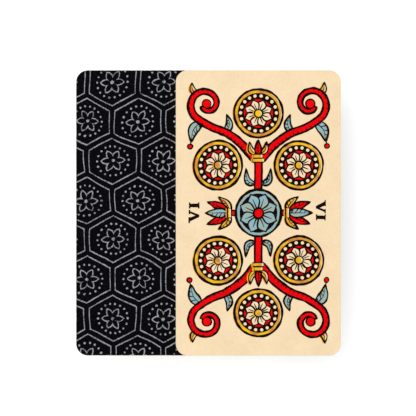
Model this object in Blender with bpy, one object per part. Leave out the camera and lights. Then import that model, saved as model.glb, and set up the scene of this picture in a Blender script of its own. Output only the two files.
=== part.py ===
"""A deck of 78 tarot cards: a squared pile lying face down, with its top two cards slid apart.

One of the two lies face down and overhangs the pile on the left. The other is turned face up
over it and overhangs on the right. Units are metres, +Z is up, and the origin is the centre of
the pile's underside. Cards are numbered from the bottom of the deck.
"""

import math
import random

import bmesh
import bpy
from mathutils import Matrix, Vector

MM = 0.001

# One card: the common tarot format of 2.75 by 4.75 inches, die-cut from 350 gram board.
CARD_WIDTH = 70.0 * MM
CARD_HEIGHT = 121.0 * MM
CARD_THICKNESS = 0.33 * MM
CORNER_RADIUS = 5.0 * MM
CORNER_STEPS = 8

# The deck, from the table up.
CARDS_IN_DECK = 78
CARDS_IN_PACKET = 19
AIR_GAP = 0.03 * MM
CARD_PITCH = CARD_THICKNESS + AIR_GAP
GROOVE_DEPTH = 1.2 * MM

# The top two cards stand this far to the left and right of the pile.
SLID_OUT = 21.15 * MM

# How far out of square the lowest card of the pile may lie. Higher up, the cards lie squarer.
SCATTER_X = 0.45 * MM
SCATTER_Y = 0.3 * MM
SCATTER_TURN = math.radians(0.12)
SCATTER_SEED = 78
SQUARE = (0.0, 0.0, 0.0)

# The pile fans out about an upright axis on its centre line, near the lower end of the cards.
FAN_AXIS_Y = -45.0 * MM

# Colours of the printed board, as linear RGB.
BACK_BLACK = (0.004, 0.004, 0.0042)
FACE_CREAM = (0.939, 0.737, 0.474)
CORE_CREAM = (0.78, 0.70, 0.55)
PRINT_ROUGHNESS = 0.45
CORE_ROUGHNESS = 0.85

# Material slots of a card's mesh.
CORE_SLOT, BACK_SLOT, FACE_SLOT = range(3)


def clear_scene():
    for obj in list(bpy.data.objects):
        bpy.data.objects.remove(obj)


def board_material(name, colour, roughness):
    material = bpy.data.materials.new(name)
    material.use_nodes = True
    shader = material.node_tree.nodes["Principled BSDF"]
    shader.inputs["Base Color"].default_value = (*colour, 1.0)
    shader.inputs["Roughness"].default_value = roughness
    shader.inputs["Metallic"].default_value = 0.0
    return material


def card_materials():
    """The board's three surfaces, in the order of the material slots."""
    return [
        board_material("board_core", CORE_CREAM, CORE_ROUGHNESS),
        board_material("printed_back", BACK_BLACK, PRINT_ROUGHNESS),
        board_material("printed_face", FACE_CREAM, PRINT_ROUGHNESS),
    ]


def card_lies():
    """How each card of the pile lies, by its number from the bottom: its offset in x and y, and its turn."""
    source = random.Random(SCATTER_SEED)
    limits = (SCATTER_X, SCATTER_Y, SCATTER_TURN)
    lies = {}
    for number in range(1, CARDS_IN_DECK - 1):
        looseness = 1.0 - number / CARDS_IN_DECK
        lies[number] = [looseness * source.uniform(-limit, limit) for limit in limits]
    return lies


def card_outline(inset, height, lie):
    """Points round a card's edge, anticlockwise, moved inwards by inset: a rectangle with round corners."""
    radius = CORNER_RADIUS - inset
    offset_x, offset_y, turn = lie
    placing = Matrix.Translation((offset_x, offset_y, height)) @ Matrix.Rotation(turn, 4, "Z")
    points = []
    for corner, (side_x, side_y) in enumerate(((1, 1), (-1, 1), (-1, -1), (1, -1))):
        centre_x = side_x * (CARD_WIDTH / 2 - CORNER_RADIUS)
        centre_y = side_y * (CARD_HEIGHT / 2 - CORNER_RADIUS)
        for step in range(CORNER_STEPS + 1):
            angle = (corner + step / CORNER_STEPS) * math.pi / 2
            x = centre_x + radius * math.cos(angle)
            y = centre_y + radius * math.sin(angle)
            points.append(placing @ Vector((x, y, 0.0)))
    return points


def loft(name, levels, materials):
    """A closed mesh through card outlines, given from the bottom up as (inset, height, lie).

    Its underside is the printed face of the lowest card and its top the back of the highest one.
    """
    bm = bmesh.new()
    rings = []
    for level in levels:
        rings.append([bm.verts.new(point) for point in card_outline(*level)])
    for lower, upper in zip(rings, rings[1:]):
        for i in range(len(lower)):
            j = (i + 1) % len(lower)
            bm.faces.new((lower[i], lower[j], upper[j], upper[i])).material_index = CORE_SLOT
    bm.faces.new(reversed(rings[0])).material_index = FACE_SLOT
    bm.faces.new(rings[-1]).material_index = BACK_SLOT
    mesh = bpy.data.meshes.new(name)
    bm.to_mesh(mesh)
    bm.free()
    for material in materials:
        mesh.materials.append(material)
    return mesh


def card_mesh(materials):
    """One card lying face down, with its origin at its middle."""
    return loft("card", [(0.0, -CARD_THICKNESS / 2, SQUARE), (0.0, CARD_THICKNESS / 2, SQUARE)], materials)


def packet_mesh(materials, lies):
    """The lowest cards of the deck as one block, with a groove all round between every two cards."""
    levels = []
    for number in range(1, CARDS_IN_PACKET + 1):
        underside = card_height(number) - CARD_THICKNESS / 2
        if number > 1:
            levels.append((GROOVE_DEPTH, underside - AIR_GAP, SQUARE))
            levels.append((GROOVE_DEPTH, underside, SQUARE))
        levels.append((0.0, underside, lies[number]))
        levels.append((0.0, underside + CARD_THICKNESS, lies[number]))
    return loft("packet", levels, materials)


def card_height(number):
    """Height of the middle of a card, counted from 1 at the bottom of the deck."""
    return (number - 1) * CARD_PITCH + CARD_THICKNESS / 2


def place(name, mesh, location=(0.0, 0.0, 0.0), turn=0.0, face_up=False, parent=None):
    """Puts a mesh in the scene under its own name, turned about Z and, if face up, rolled over about Y."""
    obj = bpy.data.objects.new(name, mesh)
    obj.location = location
    obj.rotation_euler = (0.0, math.pi if face_up else 0.0, turn)
    obj.parent = parent
    bpy.context.scene.collection.objects.link(obj)
    return obj


def place_pile(mesh, lies):
    """The loose cards between the packet and the top two, hung on an empty that stands on the fan's axis."""
    axis = bpy.data.objects.new("fan_axis", None)
    axis.location = (0.0, FAN_AXIS_Y, 0.0)
    bpy.context.scene.collection.objects.link(axis)
    for number in range(CARDS_IN_PACKET + 1, CARDS_IN_DECK - 1):
        x, y, turn = lies[number]
        place(f"deck_card_{number}", mesh, (x, y - FAN_AXIS_Y, card_height(number)), turn, parent=axis)


def build_deck():
    clear_scene()
    materials = card_materials()
    lies = card_lies()
    card = card_mesh(materials)
    place("bottom_packet", packet_mesh(materials, lies))
    place_pile(card, lies)
    place("face_down_card", card, (-SLID_OUT, 0.0, card_height(CARDS_IN_DECK - 1)))
    place("face_up_card", card, (SLID_OUT, 0.0, card_height(CARDS_IN_DECK)), face_up=True)


build_deck()
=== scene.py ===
"""The looks of a deck of tarot cards: lattice-printed backs, a card turned face up, and cut board edges.

Every card is a mesh in place of its solid. The faces of the two cards that lie apart are printed as sheets
of flat shapes in five inks, which their meshes are cut along. The backs, the paper, the inks, the edges and
the faces in the pile are node materials. Prints are drawn in millimetres, with the origin at the middle of
the card. Everything else is in metres, in the frame of the solids.
"""

import math

import bmesh
import bpy
from mathutils import Matrix, Vector, noise
from mathutils.bvhtree import BVHTree
from mathutils.geometry import convex_hull_2d, delaunay_2d_cdt, interpolate_bezier


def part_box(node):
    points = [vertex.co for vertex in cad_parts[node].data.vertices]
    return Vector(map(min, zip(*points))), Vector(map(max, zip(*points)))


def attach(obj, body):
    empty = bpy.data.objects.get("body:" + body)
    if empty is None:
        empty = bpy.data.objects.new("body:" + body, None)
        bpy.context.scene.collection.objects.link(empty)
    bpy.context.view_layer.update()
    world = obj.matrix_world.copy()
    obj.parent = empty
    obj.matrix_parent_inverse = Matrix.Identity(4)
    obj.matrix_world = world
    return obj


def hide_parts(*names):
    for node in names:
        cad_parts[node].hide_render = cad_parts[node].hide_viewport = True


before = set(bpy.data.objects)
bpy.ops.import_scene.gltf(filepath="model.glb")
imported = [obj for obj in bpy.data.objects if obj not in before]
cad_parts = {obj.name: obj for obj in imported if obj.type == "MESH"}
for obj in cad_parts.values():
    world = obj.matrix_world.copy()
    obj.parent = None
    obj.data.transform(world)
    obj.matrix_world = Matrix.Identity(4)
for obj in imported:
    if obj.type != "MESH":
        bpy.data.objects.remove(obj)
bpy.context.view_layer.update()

MM = 0.001

# The cards, as the solids have them.
CARD_LOW, CARD_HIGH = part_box("face_up_card")
CARD_SIZE = CARD_HIGH - CARD_LOW
CORNER_RADIUS = 5.0 * MM
CORNER_X = CARD_SIZE.x / 2 - CORNER_RADIUS
CORNER_Y = CARD_SIZE.y / 2 - CORNER_RADIUS
CARD_PITCH = 0.36 * MM
PACKET_GROOVE = 1.2 * MM

# The signs of x and y in the quarters of a card, anticlockwise.
QUARTERS = ((1, 1), (-1, 1), (-1, -1), (1, -1))

# The meshes of the cards: the steps of a round corner, the rounding of a cut edge, and how far the edges
# in the pile are worn back.
CORNER_STEPS = 16
EDGE_ROUND = 0.05 * MM
PILE_WEAR = 0.05 * MM
# Points of a mesh that are nearer than this become one, and shorter edges are closed up.
SAME_POINT = 0.0005 * MM
SHORTEST_EDGE = 0.001 * MM

# The material slots of a card. The face has one slot, or a slot for each ink in its order.
EDGE_SLOT, BACK_SLOT, FACE_SLOT = range(3)

# The map that a card's materials are baked through, in shares of its size: the face and the back lie
# side by side on it, under a strip for the cut edge of each card.
MAP_NAME = "OFBake"
MAP_MARGIN = 0.006
STRIP_HEIGHT = 0.026
STRIP_FILL = 0.7
# The share of the width for the face of a card that shows its face, and of one that shows its back.
SHOWN_FACE_SHARE = 0.64
HIDDEN_FACE_SHARE = 0.36

# The camera looks straight down. The scale and the deck's centre are measured in the photograph, whose
# frame is 416 pixels wide.
FRAME_PIXELS = 416
PIXELS_PER_MM = 2.3586
DECK_CENTRE_PIXEL = (208.5, 212.9)
LENS_MM = 200.0
SENSOR_MM = 36.0

# The studio: a floor just under the deck, an even surround, and a lamp above the far left.
WHITE = (1.0, 1.0, 1.0, 1.0)
FLOOR_COLOUR = (0.86, 0.86, 0.86, 1.0)
FLOOR_GLOW = 0.42
FLOOR_SIZE = 12.0
FLOOR_DROP = 0.05 * MM
SURROUND = 0.72
LAMP_SIZE = 0.9
LAMP_WATTS = 6.7
LAMP_PLACE = (-0.35, 0.33, 1.3)

# Paper and inks, as linear RGB.
CREAM, RED, OCHRE, BLUE, BLACK = range(5)
INK_NAMES = {CREAM: "paper", RED: "red_ink", OCHRE: "ochre_ink", BLUE: "blue_ink", BLACK: "black_ink"}
INK_COLOURS = {
    CREAM: (0.939, 0.737, 0.474),
    RED: (0.88, 0.0006, 0.0028),
    OCHRE: (0.79, 0.375, 0.034),
    BLUE: (0.31, 0.445, 0.42),
    BLACK: (0.006, 0.0016, 0.0008),
}
# The inks that are washed on vary from place to place between two hues.
INK_WASHES = {
    RED: ((0.76, 0.0008, 0.0036), (0.96, 0.0006, 0.0022)),
    OCHRE: ((0.60, 0.225, 0.05), (0.93, 0.55, 0.012)),
    BLUE: ((0.37, 0.465, 0.37), (0.265, 0.46, 0.53)),
}
# How a colour shifts where its ink lies thin or thick.
THIN_INK = (1.13, 1.17, 1.26)
THICK_INK = (0.85, 0.81, 0.72)
BACK_BLACK = (0.0008, 0.0008, 0.0011)
BACK_FADED = tuple(5.0 * c for c in BACK_BLACK)
LATTICE_GREY = (0.36, 0.35, 0.395)
BOARD_CORE = (0.87, 0.80, 0.67)
BOARD_SHADED = tuple(0.74 * c for c in BOARD_CORE)
BOARD_INKED = tuple(0.12 * c for c in BOARD_CORE)

# The gloss of print and of cut board, and the depth of their relief.
PRINT_SPECULAR = 0.02
BOARD_SPECULAR = 0.2
PRINT_RELIEF = 0.012 * MM
BOARD_RELIEF = 0.02 * MM

# The layers of noise on the prints. Each layer is another pattern.
RELIEF, BEND_X, BEND_Y, FINE_TREMBLE, SLOW_TREMBLE, FINE_WEAR, SLOW_WEAR, GLOSS, CHIPS, SPECKS = range(10)
# An ink has patches in the layer of its own number, and these as steps from it.
INK_WASH, INK_CLOUDS, INK_SPECKS = 0.3, 0.5, 0.7

# How far each colour is printed from the black lines, in millimetres.
REGISTER = {
    CREAM: (0.0, 0.0),
    RED: (0.1, -0.14),
    OCHRE: (-0.72, -0.15),
    BLUE: (0.22, 0.18),
    BLACK: (0.0, 0.0),
}

# Where the faint mark of a printing plate runs along the face, in millimetres: how far right of its
# middle, and the middle and half length of its upper and its lower part.
PLATE_MARK_X = 28.2
PLATE_MARK_Y = 30.0
PLATE_MARK_REACH = 15.0

# The unsteadiness of the drawing hand: the size and the length of its waves, in millimetres.
DRIFT, DRIFT_LENGTH = 0.42, 13.0
TREMBLE, TREMBLE_LENGTH = 0.1, 1.7
PRESSURE, PRESSURE_LENGTH = 0.45, 2.4

# The outlines of a print, in millimetres: their longest edges, and how near their points may come.
LONGEST_EDGE = 0.65
SHORTEST_STEP = 0.01
CUT_TOLERANCE = 1e-5

# The lattice on the backs, in millimetres: hexagons that stand on a corner, in staggered rows. Each holds
# a rosette in a ring of beads.
LATTICE_ORIGIN = (-19.5, -11.4)
COLUMN_PITCH = 21.65
ROW_PITCH = 16.72
HEXAGON_HALF_WIDTH = 9.72
HEXAGON_HALF_HEIGHT = 9.85
HEXAGON_HALF_SIDE = 4.65
HEART_RADIUS = 0.62
BEAD_RADIUS = 0.41
# Its lines: their half widths, the softness of their sides, and how much thinner the upright ones are.
HEXAGON_LINE, HEXAGON_SOFTNESS = 0.21, 0.12
PETAL_LINE, PETAL_SOFTNESS = 0.19, 0.1
UPRIGHT_THINNING = 1.4


class Field:
    """A number or a colour that varies over a surface: an output of a material's nodes. Sums add nodes."""

    def __init__(self, tree, socket):
        self.tree = tree
        self.socket = socket

    def math(self, operation, *others):
        node = self.tree.nodes.new("ShaderNodeMath")
        node.operation = operation
        for socket, value in zip(node.inputs, (self, *others)):
            feed(self.tree, socket, value)
        return Field(self.tree, node.outputs[0])

    def __add__(self, other):
        return self.math("ADD", other)

    def __sub__(self, other):
        return self.math("SUBTRACT", other)

    def __mul__(self, other):
        return self.math("MULTIPLY", other)

    def __truediv__(self, other):
        return self.math("DIVIDE", other)

    def __abs__(self):
        return self.math("ABSOLUTE")

    def clamped(self, lowest, highest):
        return self.math("MAXIMUM", lowest).math("MINIMUM", highest)

    def wrap(self, reach):
        """The number brought into the range from minus reach to reach by whole steps."""
        return self.math("WRAP", reach, -reach)

    def between(self, low, high):
        """A number that goes from low to high as this one goes from 0 to 1."""
        return self * (high - low) + low

    def within(self, limit, softness):
        """1 where the number is below the limit and 0 where it is above, with a soft step between."""
        share = (self - (limit + softness / 2)) / -softness
        return share.clamped(0.0, 1.0)

    def above(self, limit, softness):
        """1 where the number is above the limit and 0 where it is below, with a soft step between."""
        return (self * -1.0).within(-limit, softness)

    def mixed(self, first, second):
        """The first colour where this field is 0 and the second where it is 1."""
        node = self.tree.nodes.new("ShaderNodeMix")
        node.data_type = "RGBA"
        feed(self.tree, node.inputs["Factor"], self)
        for name, colour in (("A", first), ("B", second)):
            socket = next(s for s in node.inputs if s.name == name and s.type == "RGBA")
            feed(self.tree, socket, colour if isinstance(colour, Field) else (*colour, 1.0))
        return Field(self.tree, next(s for s in node.outputs if s.type == "RGBA"))


def feed(tree, socket, value):
    """Gives the input of a node a field or a constant."""
    if isinstance(value, Field):
        tree.links.new(value.socket, socket)
    else:
        socket.default_value = value


def object_coordinates(tree):
    """Where a point lies in its piece: x, y and z in metres."""
    source = tree.nodes.new("ShaderNodeTexCoord")
    split = tree.nodes.new("ShaderNodeSeparateXYZ")
    tree.links.new(source.outputs["Object"], split.inputs[0])
    return [Field(tree, socket) for socket in split.outputs]


def print_coordinates(tree):
    """Where a point lies on a print: x and y in millimetres."""
    x, y, _ = object_coordinates(tree)
    return x * (1.0 / MM), y * (1.0 / MM)


def joined_length(x, y):
    return (x * x + y * y).math("SQRT")


def grain(x, y, z, length, detail=2.0):
    """Smooth noise from 0 to 1, whose patches are about length across. On a print, z is its layer."""
    tree = x.tree
    place = tree.nodes.new("ShaderNodeCombineXYZ")
    for socket, value in zip(place.inputs, (x, y, z)):
        feed(tree, socket, value)
    texture = tree.nodes.new("ShaderNodeTexNoise")
    texture.inputs["Scale"].default_value = 1.0 / length
    texture.inputs["Detail"].default_value = detail
    tree.links.new(place.outputs[0], texture.inputs["Vector"])
    return Field(tree, texture.outputs["Fac"])


def sway(x, y, z, length, size, detail=2.0):
    """Smooth noise about 0, of a size from its lowest to its highest."""
    return (grain(x, y, z, length, detail) - 0.5) * size


def paper_relief(x, y):
    return grain(x, y, RELIEF, length=0.35, detail=3.0)


def new_material(name, specular):
    """A material with a Principled shader, and that shader."""
    material = bpy.data.materials.new(name)
    material.use_nodes = True
    shader = material.node_tree.nodes["Principled BSDF"]
    shader.inputs["Specular IOR Level"].default_value = specular
    return material, shader


def dress(shader, colour, roughness, height, depth):
    """Gives a shader its looks. The height of its relief is a field from 0 to 1, and depth its size."""
    tree = colour.tree
    bump = tree.nodes.new("ShaderNodeBump")
    bump.inputs["Strength"].default_value = 1.0
    bump.inputs["Distance"].default_value = depth
    feed(tree, bump.inputs["Height"], height)
    tree.links.new(bump.outputs["Normal"], shader.inputs["Normal"])
    feed(tree, shader.inputs["Base Color"], colour)
    feed(tree, shader.inputs["Roughness"], roughness)


def rosette(x, y, petals, reach, half_width):
    """Distance to the outline of the nearest petal of a flower at the origin, below 0 inside a petal."""
    sector = math.pi / petals
    radius = joined_length(x, y)
    turn = y.math("ARCTAN2", x) + sector
    folded = turn.wrap(sector)
    along_petal = radius * folded.math("COSINE") - reach / 2
    across_petal = abs(radius * folded.math("SINE"))
    bow = ((reach / 2) ** 2 + half_width**2) / (2 * half_width)
    return joined_length(along_petal, across_petal + (bow - half_width)) - bow


def bead_ring(x, y, beads, radius):
    """Distance to the middle of the nearest bead of a ring at the origin."""
    sector = math.pi / beads
    distance = joined_length(x, y)
    folded = y.math("ARCTAN2", x).wrap(sector)
    return joined_length(distance * folded.math("COSINE") - radius, distance * folded.math("SINE"))


def hexagon(x, y):
    """Distance to the outline of a hexagon at the origin, below 0 inside, and raised at its uprights."""
    rise = HEXAGON_HALF_HEIGHT - HEXAGON_HALF_SIDE
    slope = math.hypot(rise, HEXAGON_HALF_WIDTH)
    upright = (abs(x) - HEXAGON_HALF_WIDTH) * UPRIGHT_THINNING
    slanting = abs(x) * (rise / slope) + abs(y) * (HEXAGON_HALF_WIDTH / slope)
    return upright.math("MAXIMUM", slanting - HEXAGON_HALF_HEIGHT * HEXAGON_HALF_WIDTH / slope)


def lattice_ink(x, y):
    """How much pale ink lies on a card's back, from 0 to about 1: a rosette in each hexagon of a lattice."""
    tremble = sway(x, y, FINE_TREMBLE, length=0.6, size=0.5)
    tremble = tremble + sway(x, y, SLOW_TREMBLE, length=3.5, size=0.35)
    bend_x = sway(x, y, BEND_X, length=14.0, size=2.2, detail=0.0)
    bend_y = sway(x, y, BEND_Y, length=14.0, size=2.2, detail=0.0)
    x = x + bend_x - LATTICE_ORIGIN[0]
    y = y + bend_y - LATTICE_ORIGIN[1]
    cells = []
    for shift in (0.0, 0.5):
        cell_x = (x + shift * COLUMN_PITCH).wrap(COLUMN_PITCH / 2)
        cell_y = (y + shift * 2 * ROW_PITCH).wrap(ROW_PITCH)
        cells.append((cell_x, cell_y, hexagon(cell_x, cell_y)))
    (even_x, even_y, even), (odd_x, odd_y, odd) = cells
    is_odd = odd.math("LESS_THAN", even)
    cell_x = even_x + (odd_x - even_x) * is_odd
    cell_y = even_y + (odd_y - even_y) * is_odd
    petals = rosette(cell_y, cell_x, petals=6, reach=4.7, half_width=1.2)
    beads = bead_ring(cell_x, cell_y, beads=18, radius=6.3)
    heart = joined_length(cell_x, cell_y)
    lines = (abs(even.math("MINIMUM", odd)) + tremble).within(HEXAGON_LINE, HEXAGON_SOFTNESS)
    lines = lines.math("MAXIMUM", (abs(petals) + tremble).within(PETAL_LINE, PETAL_SOFTNESS))
    lines = lines.math("MAXIMUM", (beads + tremble).within(BEAD_RADIUS, PETAL_SOFTNESS))
    lines = lines.math("MAXIMUM", (heart + tremble).within(HEART_RADIUS, PETAL_SOFTNESS))
    worn = grain(x, y, FINE_WEAR, length=0.7) * 3.0 + grain(x, y, SLOW_WEAR, length=4.0) * 1.5 - 1.3
    return lines * worn.clamped(0.15, 1.15)


def chipped(x, y):
    """How far the ink has chipped off along a card's edge, from 0 to 1."""
    radius = CORNER_RADIUS / MM
    over_x = abs(x) - CORNER_X / MM
    over_y = abs(y) - CORNER_Y / MM
    corner = joined_length(over_x.math("MAXIMUM", 0.0), over_y.math("MAXIMUM", 0.0))
    depth = (corner + over_x.math("MAXIMUM", over_y).math("MINIMUM", 0.0)) * -1.0 + radius
    return (depth - grain(x, y, CHIPS, length=0.8) * 0.7).within(-0.3, softness=0.06)


def back_material():
    """The backs: pale lines on black, chipped along the edge of the card."""
    material, shader = new_material("card_back", PRINT_SPECULAR)
    x, y = print_coordinates(material.node_tree)
    chip_strength = 0.7
    ink_height = 0.4
    ink = lattice_ink(x, y)
    specks = grain(x, y, SPECKS, length=0.9, detail=3.0).above(0.58, softness=0.2)
    printed = ink.mixed(specks.mixed(BACK_BLACK, BACK_FADED), LATTICE_GREY)
    colour = (chipped(x, y) * chip_strength).mixed(printed, BOARD_CORE)
    roughness = grain(x, y, GLOSS, length=1.2, detail=3.0).between(0.44, 0.68)
    dress(shader, colour, roughness, paper_relief(x, y) + ink * ink_height, PRINT_RELIEF)
    return material


def edge_material():
    """The cut edges: pale board, with dark ink dragged over from the back. No two cards are marked alike."""
    material, shader = new_material("card_edge", BOARD_SPECULAR)
    tree = material.node_tree
    x, y, z = object_coordinates(tree)
    height = (z + CARD_SIZE.z / 2) / CARD_PITCH
    piece_step = 1000.0
    piece = Field(tree, tree.nodes.new("ShaderNodeObjectInfo").outputs["Random"])
    card = height.math("FLOOR") + piece * piece_step
    chance = tree.nodes.new("ShaderNodeTexWhiteNoise")
    chance.noise_dimensions = "1D"
    feed(tree, chance.inputs["W"], card)
    tone = Field(tree, chance.outputs["Value"])
    flatness, card_step = 8.0, 10.0 * MM
    fibre = grain(x, y, z * flatness + card * card_step, length=0.6 * MM)
    pale = (tone * 0.6 + fibre * 0.4).mixed(BOARD_SHADED, BOARD_CORE)
    drag_strength = 0.8
    drag = height.math("FRACT") + sway(x, y, card, length=3.0 * MM, size=0.5)
    colour = (drag.above(0.86, softness=0.12) * drag_strength).mixed(pale, BOARD_INKED)
    dress(shader, colour, fibre.between(0.7, 0.9), fibre, BOARD_RELIEF)
    return material


def coin_material():
    """The faces of the cards in the pile: one large coin, with rings and petals in the inks of the deck."""
    material, shader = new_material("coin_face", PRINT_SPECULAR)
    x, y = print_coordinates(material.node_tree)
    rim, field, heart = 20.0, 14.6, 3.0
    ring_line, petal_line, line_softness = 0.35, 0.25, 0.1
    softness = 0.2
    radius = joined_length(x, y)
    petals = rosette(x, y, petals=8, reach=13.0, half_width=3.4)
    colour = radius.within(rim, softness).mixed(INK_COLOURS[CREAM], INK_COLOURS[OCHRE])
    colour = radius.within(field, softness).mixed(colour, INK_COLOURS[RED])
    colour = petals.within(0.0, softness).mixed(colour, INK_COLOURS[BLUE])
    colour = radius.within(heart, softness).mixed(colour, INK_COLOURS[OCHRE])
    for ring in (rim, field, heart):
        colour = abs(radius - ring).within(ring_line, line_softness).mixed(colour, INK_COLOURS[BLACK])
    colour = abs(petals).within(petal_line, line_softness).mixed(colour, INK_COLOURS[BLACK])
    roughness = grain(x, y, GLOSS, length=0.8, detail=3.0).between(0.46, 0.66)
    dress(shader, colour, roughness, paper_relief(x, y), PRINT_RELIEF)
    return material


def plate_mark(x, y):
    """Faint broken streaks that the edge of the ochre plate has left along one side of the face."""
    bend = sway(x * 0.0, y, SLOW_TREMBLE, length=12.0, size=1.6)
    beside = abs(x + bend + PLATE_MARK_X).within(0.5, softness=0.9)
    streaks = grain(x, y * 0.4, FINE_WEAR, length=1.6).above(0.55, softness=0.2)
    return beside * streaks * abs(abs(y) - PLATE_MARK_Y).within(PLATE_MARK_REACH, softness=5.0)


def mottled(thinness, colour):
    """A colour that shifts as its ink lies from thick, at 0, to thin, at 1."""
    thick = [share * c for share, c in zip(THICK_INK, colour)]
    thin = [share * c for share, c in zip(THIN_INK, colour)]
    return thinness.mixed(thick, thin)


def ink_material(ink):
    """Paper, or an ink that lies on it. Every ink is mottled, and lets specks of the paper show through."""
    material, shader = new_material(INK_NAMES[ink], PRINT_SPECULAR)
    x, y = print_coordinates(material.node_tree)
    mark_strength, speck_strength = 0.3, 0.3
    patches = grain(x, y, ink, length=9.0, detail=3.0)
    clouds = grain(x, y, ink + INK_CLOUDS, length=0.8, detail=3.0)
    thinness = patches * 0.5 + clouds * 0.5
    if ink in INK_WASHES:
        first, second = [mottled(thinness, hue) for hue in INK_WASHES[ink]]
        wash = grain(x, y, ink + INK_WASH, length=3.6, detail=5.0).above(0.5, softness=0.26)
        colour = wash.mixed(first, second)
    else:
        colour = mottled(thinness, INK_COLOURS[ink])
    if ink == CREAM:
        colour = (plate_mark(x, y) * mark_strength).mixed(colour, INK_COLOURS[OCHRE])
    else:
        specks = grain(x, y, ink + INK_SPECKS, length=0.2).above(0.74, softness=0.1)
        colour = (specks * speck_strength).mixed(colour, INK_COLOURS[CREAM])
    dress(shader, colour, clouds.between(0.46, 0.66), paper_relief(x, y), PRINT_RELIEF)
    return material


class Sheet:
    """A print in the making: outlines in millimetres, each with its ink, the later ones over the earlier."""

    def __init__(self, border):
        self.points = []
        self.outlines = []
        self.inks = []
        self.add(CREAM, border, steady=True)

    def add(self, ink, outline, steady=False):
        """Prints one outline. A steady one is placed exactly, and any other as a hand would draw it."""
        points = outline if steady else [by_hand(p) + Vector(REGISTER[ink]) for p in finely(outline)]
        first = len(self.points)
        self.points += points
        self.outlines.append(list(range(first, len(self.points))))
        self.inks.append(ink)

    def stroke(self, path, width, tip=1.0, closed=False):
        """Prints a black line along a path, as a chain of short pieces. Its end has tip times its width."""
        last = len(path) - 1
        reaches = [width / 2 * (1 + (tip - 1) * i / last) * pressure(p) for i, p in enumerate(path)]
        left, right = both_sides(path, reaches, closed)
        count = len(path) if closed else last
        for i in range(count):
            j = (i + 1) % len(path)
            piece = [left[i], right[i], right[j], left[j]]
            self.add(BLACK, [piece[k] for k in convex_hull_2d(piece)])

    def shape(self, ink, outline, line):
        """Prints a filled shape with a black outline, whose width is line."""
        self.add(CREAM, outline)
        self.add(ink, outline)
        self.stroke(outline, line, closed=True)

    def cut(self):
        """The sheet's surface cut along every outline: its points, its faces and the ink of each face."""
        edges = [edge for outline in self.outlines for edge in with_next(outline)]
        inside_only = 1
        cutting = delaunay_2d_cdt(self.points, edges, [], inside_only, CUT_TOLERANCE, False)
        points, _, faces, _, _, _ = cutting
        # The outlines are stacked a hair apart in their order, so a look from above finds the one on top.
        hair = 0.001
        stacked = []
        for level, outline in enumerate(self.outlines):
            stacked += [Vector((*self.points[i], level * hair)) for i in outline]
        stack = BVHTree.FromPolygons(stacked, self.outlines)
        down = Vector((0.0, 0.0, -1.0))
        inks = []
        for face in faces:
            centre = sum((points[i] for i in face), Vector((0.0, 0.0))) / len(face)
            _, _, top, _ = stack.ray_cast(Vector((*centre, len(self.outlines) * hair)), down)
            inks.append(self.inks[top])
        return points, faces, inks


def with_next(outline):
    """Each point of a closed outline with the one after it."""
    return zip(outline, outline[1:] + outline[:1])


def finely(outline):
    """A closed outline with its long edges split."""
    points = []
    for start, end in with_next(outline):
        pieces = max(1, math.ceil((end - start).length / LONGEST_EDGE))
        points += [start.lerp(end, i / pieces) for i in range(pieces)]
    return points


def by_hand(point):
    """Where an unsteady hand puts a point."""
    drift = DRIFT * wave(point, DRIFT_LENGTH, layer=0.0)
    return point + drift + TREMBLE * wave(point, TREMBLE_LENGTH, layer=40.0)


def wave(point, length, layer):
    """A vector that varies from place to place, in waves of a length. Each layer is another pattern."""
    axis_step = 9.3
    spot = point.to_3d() / length
    return Vector([noise.noise(spot + Vector((0.0, 0.0, layer + axis_step * axis))) for axis in (1, 2)])


def pressure(point):
    """How much wider than usual an unsteady hand draws a line at a point."""
    layer = 20.0
    return 1.0 + PRESSURE * noise.noise(Vector((point.x, point.y, layer)) / PRESSURE_LENGTH)


def along(angle, distance):
    return distance * Vector((math.cos(angle), math.sin(angle)))


def smooth_path(knots, steps=13):
    """Points along a smooth curve through the knots."""
    run = [2 * knots[0] - knots[1], *knots, 2 * knots[-1] - knots[-2]]
    path = []
    for before, start, end, after in zip(run, run[1:], run[2:], run[3:]):
        leave = start + (end - before) / 6
        arrive = end - (after - start) / 6
        path += interpolate_bezier(start, leave, arrive, end, steps)[:-1]
    return path + [knots[-1]]


def curl(centre, radii, angles, knots=14):
    """Knots of a spiral about a centre, between two radii and two angles in degrees."""
    points = []
    for i in range(knots + 1):
        radius = radii[0] + (radii[1] - radii[0]) * i / knots
        angle = angles[0] + (angles[1] - angles[0]) * i / knots
        points.append(centre + along(math.radians(angle), radius))
    return points


def evenly(path, spacing):
    """Points along a path, each at a spacing from the one before."""
    points = [path[0]]
    for target in path[1:]:
        while (target - points[-1]).length > spacing:
            points.append(points[-1] + spacing * (target - points[-1]).normalized())
    return points


def both_sides(path, reaches, closed=False):
    """The points at a reach to the left and to the right of each point of a path."""
    left, right = [], []
    last = len(path) - 1
    for i, (point, reach) in enumerate(zip(path, reaches)):
        before = path[i - 1] if i or closed else point
        after = path[(i + 1) % len(path)] if i < last or closed else point
        side = (after - before).orthogonal().normalized() * reach
        left.append(point + side)
        right.append(point - side)
    return left, right


def blade(path, reach):
    """An outline round a path. Its half width is reach(share), with share from 0 to 1 along the path."""
    last = len(path) - 1
    left, right = both_sides(path, [reach(i / last) for i in range(last + 1)])
    return [p for p, after in with_next(left + right[::-1]) if (after - p).length > SHORTEST_STEP]


def circle(centre, radius):
    fewest = 12
    count = max(fewest, round(2 * math.pi * radius / LONGEST_EDGE))
    return [centre + along(2 * math.pi * i / count, radius) for i in range(count)]


def point_of(pair, flip=(1, 1)):
    """A point of a quarter of the design, flipped into another quarter."""
    return Vector((pair[0] * flip[0], pair[1] * flip[1]))


def points_of(pairs, flip=(1, 1)):
    return [point_of(pair, flip) for pair in pairs]


def bar(left, right, low, high, flip):
    """The corners of a rectangle, flipped into another quarter of the design."""
    return points_of(((left, low), (right, low), (right, high), (left, high)), flip)


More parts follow.
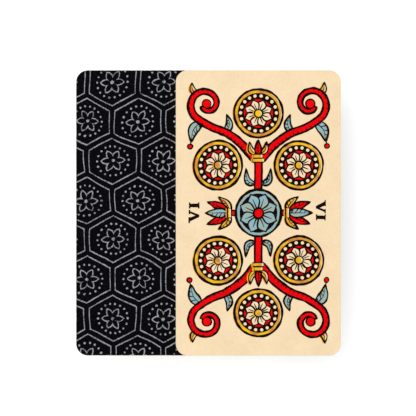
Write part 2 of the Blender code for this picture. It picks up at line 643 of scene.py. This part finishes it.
def petal_width(share, fullest, half_width):
    """Half width of a petal or leaf along its length: none at both ends, and most at the fullest share."""
    return half_width * math.sin(math.pi * share ** (math.log(0.5) / math.log(fullest)))


def draw_leaf(sheet, knots, half_width, ink):
    """A leaf along a bent midrib, with one side shaded by tapering lines if there is room for them."""
    fullest = 0.4
    has_room = half_width > 1.28
    midrib = smooth_path(knots, steps=9)
    last = len(midrib) - 1
    outline = blade(midrib, lambda share: petal_width(share, fullest, half_width))
    sheet.shape(ink, outline, line=0.8 if has_room else 0.62)
    sheet.stroke(midrib[1:-1], width=0.45, tip=0.4)
    if not has_room:
        return
    for i in range(2, last - 1, 3):
        side = (midrib[i + 1] - midrib[i - 1]).orthogonal().normalized()
        forward = (midrib[i + 1] - midrib[i]).normalized()
        reach = 0.95 * petal_width(i / last, fullest, half_width)
        sheet.stroke([midrib[i] + reach * (side + 0.7 * forward), midrib[i]], width=0.62, tip=0.35)


def draw_berry(sheet, centre, radius):
    sheet.shape(RED, circle(centre, radius), line=0.6)


def draw_flower(sheet, centre, reach, petals, ink):
    """Petals round a centre, each with a line along it."""
    steps = 12
    half_width = 0.8 * reach * math.sin(math.pi / petals)
    for i in range(petals):
        angle = 2 * math.pi * (i + 0.5) / petals
        rib = [centre + along(angle, reach * step / steps) for step in range(1, steps + 1)]
        sheet.shape(ink, blade(rib, lambda share: petal_width(share, 0.6, half_width)), line=0.68)
        sheet.stroke([rib[2], rib[8]], width=0.6, tip=0.4)


def draw_coin(sheet, centre, radius):
    """A round coin: an ochre rim, a black band of beads, a red field and a flower of eight petals."""
    band = 0.845 * radius
    field = 0.61 * radius
    heart = 0.27 * field
    beads, bead_radius = 18, 0.7
    sheet.shape(OCHRE, circle(centre, radius), line=1.0)
    sheet.add(BLACK, circle(centre, band))
    for i in range(beads):
        middle = centre + along(2 * math.pi * i / beads, (band + field) / 2)
        sheet.add(CREAM, circle(middle, bead_radius))
    sheet.shape(RED, circle(centre, field), line=0.6)
    draw_flower(sheet, centre, 0.95 * field, petals=8, ink=CREAM)
    sheet.shape(OCHRE, circle(centre, heart), line=0.65)


def draw_numeral(sheet, centre, turn):
    """The Roman numeral six, on its side: turn is 1 where it reads upwards, and -1 downwards."""
    cap = 4.4
    serif = 0.62
    across, up = Vector((0.0, turn)), Vector((-turn, 0.0))
    marks = (
        ((-4.3, cap), (-2.5, cap), (-1.1, 0.9), (-1.1, 0.0), (-2.1, 0.0)),
        ((-2.1, 0.0), (-1.1, 0.0), (0.55, cap), (-0.4, cap)),
        ((-4.65, cap), (-2.15, cap), (-2.15, cap - serif), (-4.65, cap - serif)),
        ((-0.95, cap), (0.87, cap), (0.87, cap - serif), (-0.95, cap - serif)),
        ((1.9, 0.0), (3.45, 0.0), (3.45, cap), (1.9, cap)),
        ((1.4, 0.0), (3.95, 0.0), (3.95, serif), (1.4, serif)),
        ((1.4, cap - serif), (3.95, cap - serif), (3.95, cap), (1.4, cap)),
    )
    for corners in marks:
        sheet.add(BLACK, [centre + across * x + up * (y - cap / 2) for x, y in corners])


def draw_scroll(sheet, flip):
    """A red branch that leaves the stem, passes between two coins and curls up in a corner."""
    eye = Vector((22.0, 46.2))
    branch = points_of(((1.2, 22.4), (6.6, 28.6), (13.2, 33.4), (20.0, 36.2)))
    branch += curl(eye, radii=(7.4, 2.2), angles=(-60.0, 330.0))
    path = evenly(smooth_path(points_of(branch, flip)), spacing=0.5)
    half_width = 1.65
    narrowing = 0.7
    draw_leaf(sheet, points_of(((24.2, 38.6), (27.6, 35.4), (28.6, 30.2)), flip), 2.1, BLUE)
    draw_leaf(sheet, points_of(((14.4, 33.8), (12.3, 37.2), (13.4, 41.6)), flip), 1.5, BLUE)
    draw_leaf(sheet, points_of(((25.8, 50.2), (27.7, 52.2), (27.9, 55.2)), flip), 1.25, OCHRE)
    sheet.shape(RED, blade(path, lambda share: half_width - narrowing * share), line=0.95)
    for i in range(8, len(path) - 8, 4):
        side = (path[i + 1] - path[i - 1]).orthogonal().normalized() * (-flip[0] * flip[1])
        reach = half_width - narrowing * i / len(path)
        sheet.stroke([path[i] + 0.8 * reach * side, path[i] + 0.15 * reach * side], width=0.55, tip=0.3)
    draw_berry(sheet, point_of(eye, flip), 1.9)
    sheet.stroke(points_of(((28.5, 31.4), (29.0, 28.8)), flip), width=0.5)
    draw_berry(sheet, point_of((29.0, 28.4), flip), 1.05)


def draw_stem(sheet, flip):
    """The red stem between the middle and an end coin, with two leaves, a collar and a bud."""
    sheet.shape(RED, bar(-1.5, 1.5, 8.6, 21.6, (1, flip)), line=0.95)
    for side in (1, -1):
        draw_leaf(sheet, points_of(((1.4, 12.0), (4.6, 13.6), (5.4, 18.6)), (side, flip)), 1.3, BLUE)
        draw_leaf(sheet, points_of(((0.8, 24.6), (3.0, 26.6), (3.6, 30.2)), (side, flip)), 1.22, OCHRE)
    draw_leaf(sheet, points_of(((0.0, 24.2), (0.0, 27.2), (0.0, 31.0)), (1, flip)), 1.4, RED)
    half_height = 0.85
    for height, half_width in ((22.0, 2.4), (23.8, 1.9)):
        collar = bar(-half_width, half_width, height - half_height, height + half_height, (1, flip))
        sheet.shape(OCHRE, collar, line=0.6)


def draw_side_flower(sheet, flip):
    """A tulip that lies on its side between the middle and a numeral."""
    sheet.shape(RED, bar(8.6, 12.4, -1.1, 1.1, (flip, 1)), line=0.7)
    for side in (1, -1):
        draw_leaf(sheet, points_of(((12.2, 0.6), (13.6, 4.2), (16.8, 7.0)), (flip, side)), 1.45, OCHRE)
        draw_leaf(sheet, points_of(((12.8, 0.5), (17.0, 3.0), (21.8, 4.7)), (flip, side)), 1.7, RED)
    draw_leaf(sheet, points_of(((12.8, 0.0), (17.2, 0.0), (22.8, 0.0)), (flip, 1)), 2.0, BLUE)
    sheet.shape(OCHRE, bar(11.6, 13.2, -2.0, 2.0, (flip, 1)), line=0.6)


def draw_medallion(sheet, radius):
    """The blue ring in the middle, with a blue flower in it."""
    middle = Vector((0.0, 0.0))
    sheet.shape(BLUE, circle(middle, radius), line=1.1)
    sheet.add(BLACK, circle(middle, 0.84 * radius))
    draw_flower(sheet, middle, 0.86 * radius, petals=8, ink=BLUE)
    sheet.shape(RED, circle(middle, 0.22 * radius), line=0.8)


def six_of_coins(border):
    """The face of the card that is turned up."""
    coin_radius = 10.2
    sheet = Sheet(border)
    for flip in QUARTERS:
        draw_scroll(sheet, flip)
    for side in (1, -1):
        draw_stem(sheet, side)
        draw_side_flower(sheet, side)
        for place in ((0.0, 42.3), (17.2, 20.2), (-17.2, 20.2)):
            draw_coin(sheet, point_of(place, (1, side)), coin_radius)
    draw_numeral(sheet, Vector((-27.4, 0.5)), turn=1)
    draw_numeral(sheet, Vector((26.5, 0.8)), turn=-1)
    draw_medallion(sheet, radius=9.8)
    return sheet


def four_of_coins(border):
    """The face of the card that lies face down."""
    sheet = Sheet(border)
    for flip in QUARTERS:
        draw_coin(sheet, point_of((16.0, 36.0), flip), radius=11.5)
    for side in (1, -1):
        draw_stem(sheet, side)
        draw_side_flower(sheet, side)
    draw_medallion(sheet, radius=9.2)
    return sheet


def card_border(inset):
    """Points round a card's edge, in metres: a rectangle with round corners, moved inwards by inset."""
    radius = CORNER_RADIUS - inset
    points = []
    for corner, (side_x, side_y) in enumerate(QUARTERS):
        centre = Vector((side_x * CORNER_X, side_y * CORNER_Y))
        for step in range(CORNER_STEPS + 1):
            points.append(centre + along((corner + step / CORNER_STEPS) * math.pi / 2, radius))
    return points


def edge_profile():
    """The cut edge of a card from its face up to its back, as (inset, height), rounded at both."""
    turns = [math.radians(degrees) for degrees in (0.0, 45.0, 90.0)]
    half = CARD_SIZE.z / 2
    lower = [(EDGE_ROUND * (1 - math.sin(t)), EDGE_ROUND * (1 - math.cos(t)) - half) for t in turns]
    return lower + [(inset, -height) for inset, height in reversed(lower)]


def add_edge(bm, bake_map, wear, strip):
    """Adds the cut edge of a card, laid out on a strip of its map. Returns its lowest and highest ring."""
    profile = edge_profile()
    rings = [[bm.verts.new((*p, height)) for p in card_border(wear + inset)] for inset, height in profile]
    rises = [strip + STRIP_HEIGHT * (0.5 + STRIP_FILL * height / CARD_SIZE.z) for _, height in profile]
    count = len(rings[0])
    for low in range(len(rings) - 1):
        for i in range(count):
            corners = ((i, low), (i + 1, low), (i + 1, low + 1), (i, low + 1))
            side = bm.faces.new([rings[level][step % count] for step, level in corners])
            side.material_index = EDGE_SLOT
            side.smooth = True
            for loop, (step, level) in zip(side.loops, corners):
                loop[bake_map].uv = (step / count, rises[level])
    return rings[0], rings[-1]


def add_print(bm, design):
    """Adds the face of a card, cut along its print. It looks down, so the print is mirrored."""
    points, faces, inks = design([p / MM for p in card_border(EDGE_ROUND)]).cut()
    corners = [bm.verts.new((-p.x * MM, p.y * MM, -CARD_SIZE.z / 2)) for p in points]
    added = []
    for face, ink in zip(faces, inks):
        added.append(bm.faces.new([corners[i] for i in face]))
        added[-1].material_index = FACE_SLOT + ink
    return added


def lay_out(faces, bake_map, left, right, top):
    """Gives flat faces of a card their places on its map, between two sides and below the top of a field."""
    width = right - left - 2 * MAP_MARGIN
    height = top - 2 * MAP_MARGIN
    for face in faces:
        for loop in face.loops:
            x, y, _ = loop.vert.co
            u = left + MAP_MARGIN + width * (x / CARD_SIZE.x + 0.5)
            v = MAP_MARGIN + height * (y / CARD_SIZE.y + 0.5)
            loop[bake_map].uv = (u, v)


def card_mesh(name, lies, wear=0.0, design=None, face_share=0.5):
    """Cards that lie face down, each where its lie puts it. A face without a design is left whole.

    The face takes face_share of the width of the map, and the back the rest.
    """
    bm = bmesh.new()
    bake_map = bm.loops.layers.uv.new(MAP_NAME)
    strips = 1.0 - STRIP_HEIGHT * len(lies)
    for row, lie in enumerate(lies):
        first = len(bm.verts)
        lowest, highest = add_edge(bm, bake_map, wear, strips + STRIP_HEIGHT * row)
        back = bm.faces.new(highest)
        back.material_index = BACK_SLOT
        if design:
            faces = add_print(bm, design)
        else:
            faces = [bm.faces.new(lowest[::-1])]
            faces[0].material_index = FACE_SLOT
        lay_out(faces, bake_map, 0.0, face_share, strips)
        lay_out([back], bake_map, face_share, 1.0, strips)
        bm.verts.ensure_lookup_table()
        bmesh.ops.transform(bm, matrix=lie, verts=bm.verts[first:])
    bmesh.ops.remove_doubles(bm, verts=bm.verts, dist=SAME_POINT)
    bmesh.ops.dissolve_degenerate(bm, edges=bm.edges, dist=SHORTEST_EDGE)
    mesh = bpy.data.meshes.new(name)
    bm.to_mesh(mesh)
    bm.free()
    return mesh


def pile_lies(node):
    """How each card of a solid of the pile lies, from the lowest up, as a matrix that moves it there."""
    digits = 7
    slack = 0.01
    # The points of a groove lie further in than this, and belong to no card.
    edge_starts = CORNER_RADIUS - 0.75 * PACKET_GROOVE
    outlines = {}
    for x, y, z in sorted({tuple(round(c, digits) for c in vertex.co) for vertex in node.data.vertices}):
        beyond = math.hypot(max(abs(x) - CORNER_X, 0.0), max(abs(y) - CORNER_Y, 0.0))
        if beyond > edge_starts:
            outlines.setdefault(int(z / CARD_PITCH + slack), []).append(Vector((x, y, z)))
    lies = []
    for number in sorted(outlines):
        points = outlines[number]
        middle = sum(points, Vector()) / len(points)
        offsets = [p - middle for p in points]
        slant = -2 * sum(o.x * o.y for o in offsets)
        turn = math.atan2(slant, sum(o.y * o.y - o.x * o.x for o in offsets)) / 2
        lies.append(Matrix.Translation(middle) @ Matrix.Rotation(turn, 4, "Z"))
    return lies


def add_piece(node, mesh, place, materials):
    """A printed piece in place of a solid of the deck."""
    for material in materials:
        mesh.materials.append(material)
    piece = bpy.data.objects.new(mesh.name, mesh)
    piece.matrix_world = place
    bpy.context.scene.collection.objects.link(piece)
    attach(piece, node)
    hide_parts(node)


def add_top_cards(edge, back):
    """The two cards that lie apart on the pile, each with a print of its own."""
    materials = [edge, back] + [ink_material(ink) for ink in INK_COLOURS]
    still = Matrix.Identity(4)
    rolled_over = Matrix.Rotation(math.pi, 4, "Y")
    tops = (
        ("face_up_card", six_of_coins, SHOWN_FACE_SHARE, "card_face", rolled_over),
        ("face_down_card", four_of_coins, HIDDEN_FACE_SHARE, "card_back", still),
    )
    for node, design, face_share, slot, roll in tops:
        mesh = card_mesh(node + "_printed", [still], design=design, face_share=face_share)
        low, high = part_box(node)
        add_piece(node, mesh, Matrix.Translation((low + high) / 2) @ roll, materials)


def add_pile(edge, back):
    """The cards under them: the lowest ones in one piece, and each of the others by itself."""
    materials = [edge, back, coin_material()]
    for name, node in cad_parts.items():
        if name == "bottom_packet" or name.startswith("deck_card"):
            lies = pile_lies(node)
            place = Matrix.Translation(lies[0].translation)
            mesh = card_mesh(name + "_printed", [place.inverted() @ lie for lie in lies], PILE_WEAR)
            add_piece(name, mesh, place, materials)


def add_cards():
    edge, back = edge_material(), back_material()
    add_top_cards(edge, back)
    add_pile(edge, back)


def seen_directly(tree):
    """1 for a ray from the camera, or one mirrored or let through on its way to it, and 0 for any other."""
    path = tree.nodes.new("ShaderNodeLightPath")
    camera = Field(tree, path.outputs["Is Camera Ray"])
    glossy = Field(tree, path.outputs["Is Glossy Ray"])
    through = Field(tree, path.outputs["Is Transmission Ray"])
    return camera.math("MAXIMUM", glossy).math("MAXIMUM", through)


def add_floor():
    """A white floor that keeps the deck's shadow."""
    bpy.ops.mesh.primitive_plane_add(size=FLOOR_SIZE, location=(0.0, 0.0, -FLOOR_DROP))
    floor = bpy.context.object
    floor.name = "floor"
    material, shader = new_material("floor", specular=0.0)
    tree = material.node_tree
    shader.inputs["Roughness"].default_value = 1.0
    shader.inputs["Base Color"].default_value = FLOOR_COLOUR
    shader.inputs["Emission Color"].default_value = WHITE
    feed(tree, shader.inputs["Emission Strength"], seen_directly(tree) * FLOOR_GLOW)
    floor.data.materials.append(material)


def add_light():
    """An even white surround and one large soft lamp."""
    world = bpy.data.worlds.new("studio")
    bpy.context.scene.world = world
    world.use_nodes = True
    tree = world.node_tree
    background = tree.nodes["Background"]
    background.inputs["Color"].default_value = WHITE
    feed(tree, background.inputs["Strength"], seen_directly(tree).between(SURROUND, 1.0))
    lamp = bpy.data.lights.new("soft_lamp", "AREA")
    lamp.size = LAMP_SIZE
    lamp.energy = LAMP_WATTS
    obj = bpy.data.objects.new("soft_lamp", lamp)
    obj.location = LAMP_PLACE
    obj.rotation_euler = (-obj.location).to_track_quat("-Z", "Y").to_euler()
    bpy.context.scene.collection.objects.link(obj)


def add_camera():
    """A camera above the deck, framed as the photograph is."""
    data = bpy.data.cameras.new("camera")
    data.lens = LENS_MM
    data.sensor_width = SENSOR_MM
    frame_width = FRAME_PIXELS / PIXELS_PER_MM * MM
    pixel = frame_width / FRAME_PIXELS
    obj = bpy.data.objects.new("camera", data)
    obj.location = (
        (FRAME_PIXELS / 2 - DECK_CENTRE_PIXEL[0]) * pixel,
        (DECK_CENTRE_PIXEL[1] - FRAME_PIXELS / 2) * pixel,
        CARD_HIGH.z + frame_width * LENS_MM / SENSOR_MM,
    )
    bpy.context.scene.collection.objects.link(obj)
    bpy.context.scene.camera = obj


bpy.context.scene.view_settings.view_transform = "Standard"
add_cards()
add_floor()
add_light()
add_camera()
